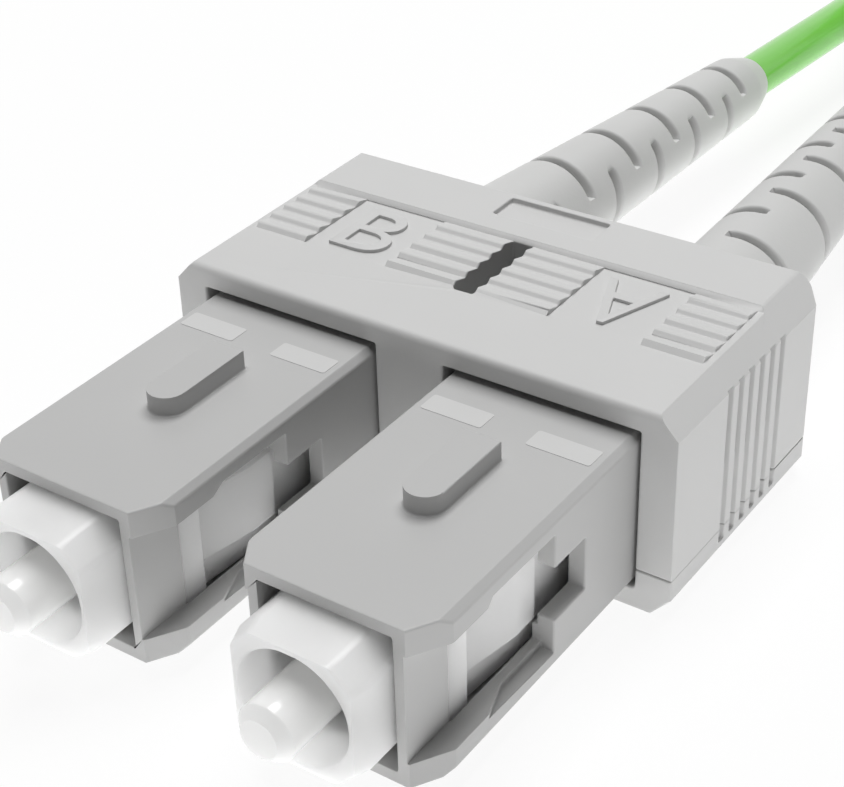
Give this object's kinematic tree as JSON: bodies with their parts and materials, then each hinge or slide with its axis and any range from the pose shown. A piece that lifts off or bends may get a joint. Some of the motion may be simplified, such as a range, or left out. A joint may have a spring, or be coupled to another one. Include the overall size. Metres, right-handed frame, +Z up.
{
  "type": "duplex fibre optic push-pull connector",
  "caption": "Duplex push-pull fibre connector: square grips with sprung ceramic ferrules held side by side in a ribbed clip, slotted strain-relief boots, coiled cords.",
  "frame": {"origin": "middle of the clip's underside", "axes": "+X across the pair towards connector a, +Y from the ferrule tips towards the cords, +Z up"},
  "size_m": [0.0328, 0.1306, 0.0218],
  "materials": {
    "clip_plastic": "satin",
    "grip_plastic": "satin",
    "white_plastic": "satin",
    "ceramic": "polished ceramic",
    "plated_metal": "nickel plated",
    "spring_steel": "drawn wire",
    "sleeve_metal": "crimped",
    "boot_rubber": "matt",
    "cord_jacket": "extruded",
    "tie_plastic": "matt"
  },
  "bodies": {
    "clip": {"clip_upper": "clip_plastic", "clip_lower": "clip_plastic", "grip_a": "grip_plastic", "grip_b": "grip_plastic"},
    "plug_a": {"plug_frame_a": "white_plastic", "back_body_a": "plated_metal", "crimp_sleeve_a": "sleeve_metal", "spring_a": "spring_steel", "fibre_a": "white_plastic", "boot_a": "boot_rubber", "cord_a": "cord_jacket", "cord_coil_a": "cord_jacket", "coil_tie_a": "tie_plastic"},
    "ferrule_a": {"ferrule_a": "ceramic", "ferrule_flange_a": "plated_metal"},
    "plug_b": {"plug_frame_b": "white_plastic", "back_body_b": "plated_metal", "crimp_sleeve_b": "sleeve_metal", "spring_b": "spring_steel", "fibre_b": "white_plastic", "boot_b": "boot_rubber", "cord_b": "cord_jacket", "cord_coil_b": "cord_jacket", "coil_tie_b": "tie_plastic"},
    "ferrule_b": {"ferrule_b": "ceramic", "ferrule_flange_b": "plated_metal"}
  },
  "joints": [
    {"name": "plug_slide_a", "type": "slide", "parent": "clip", "child": "plug_a", "axis": [0, 1, 0], "range_m": [0, 0.0015]},
    {"name": "ferrule_slide_a", "type": "slide", "parent": "plug_a", "child": "ferrule_a", "axis": [0, 1, 0], "range_m": [0, 0.001], "stiffness_N_per_m": 1200, "deforming": ["spring_a"]},
    {"name": "plug_slide_b", "type": "slide", "parent": "clip", "child": "plug_b", "axis": [0, 1, 0], "range_m": [0, 0.0015]},
    {"name": "ferrule_slide_b", "type": "slide", "parent": "plug_b", "child": "ferrule_b", "axis": [0, 1, 0], "range_m": [0, 0.001], "stiffness_N_per_m": 1200, "deforming": ["spring_b"]}
  ]
}
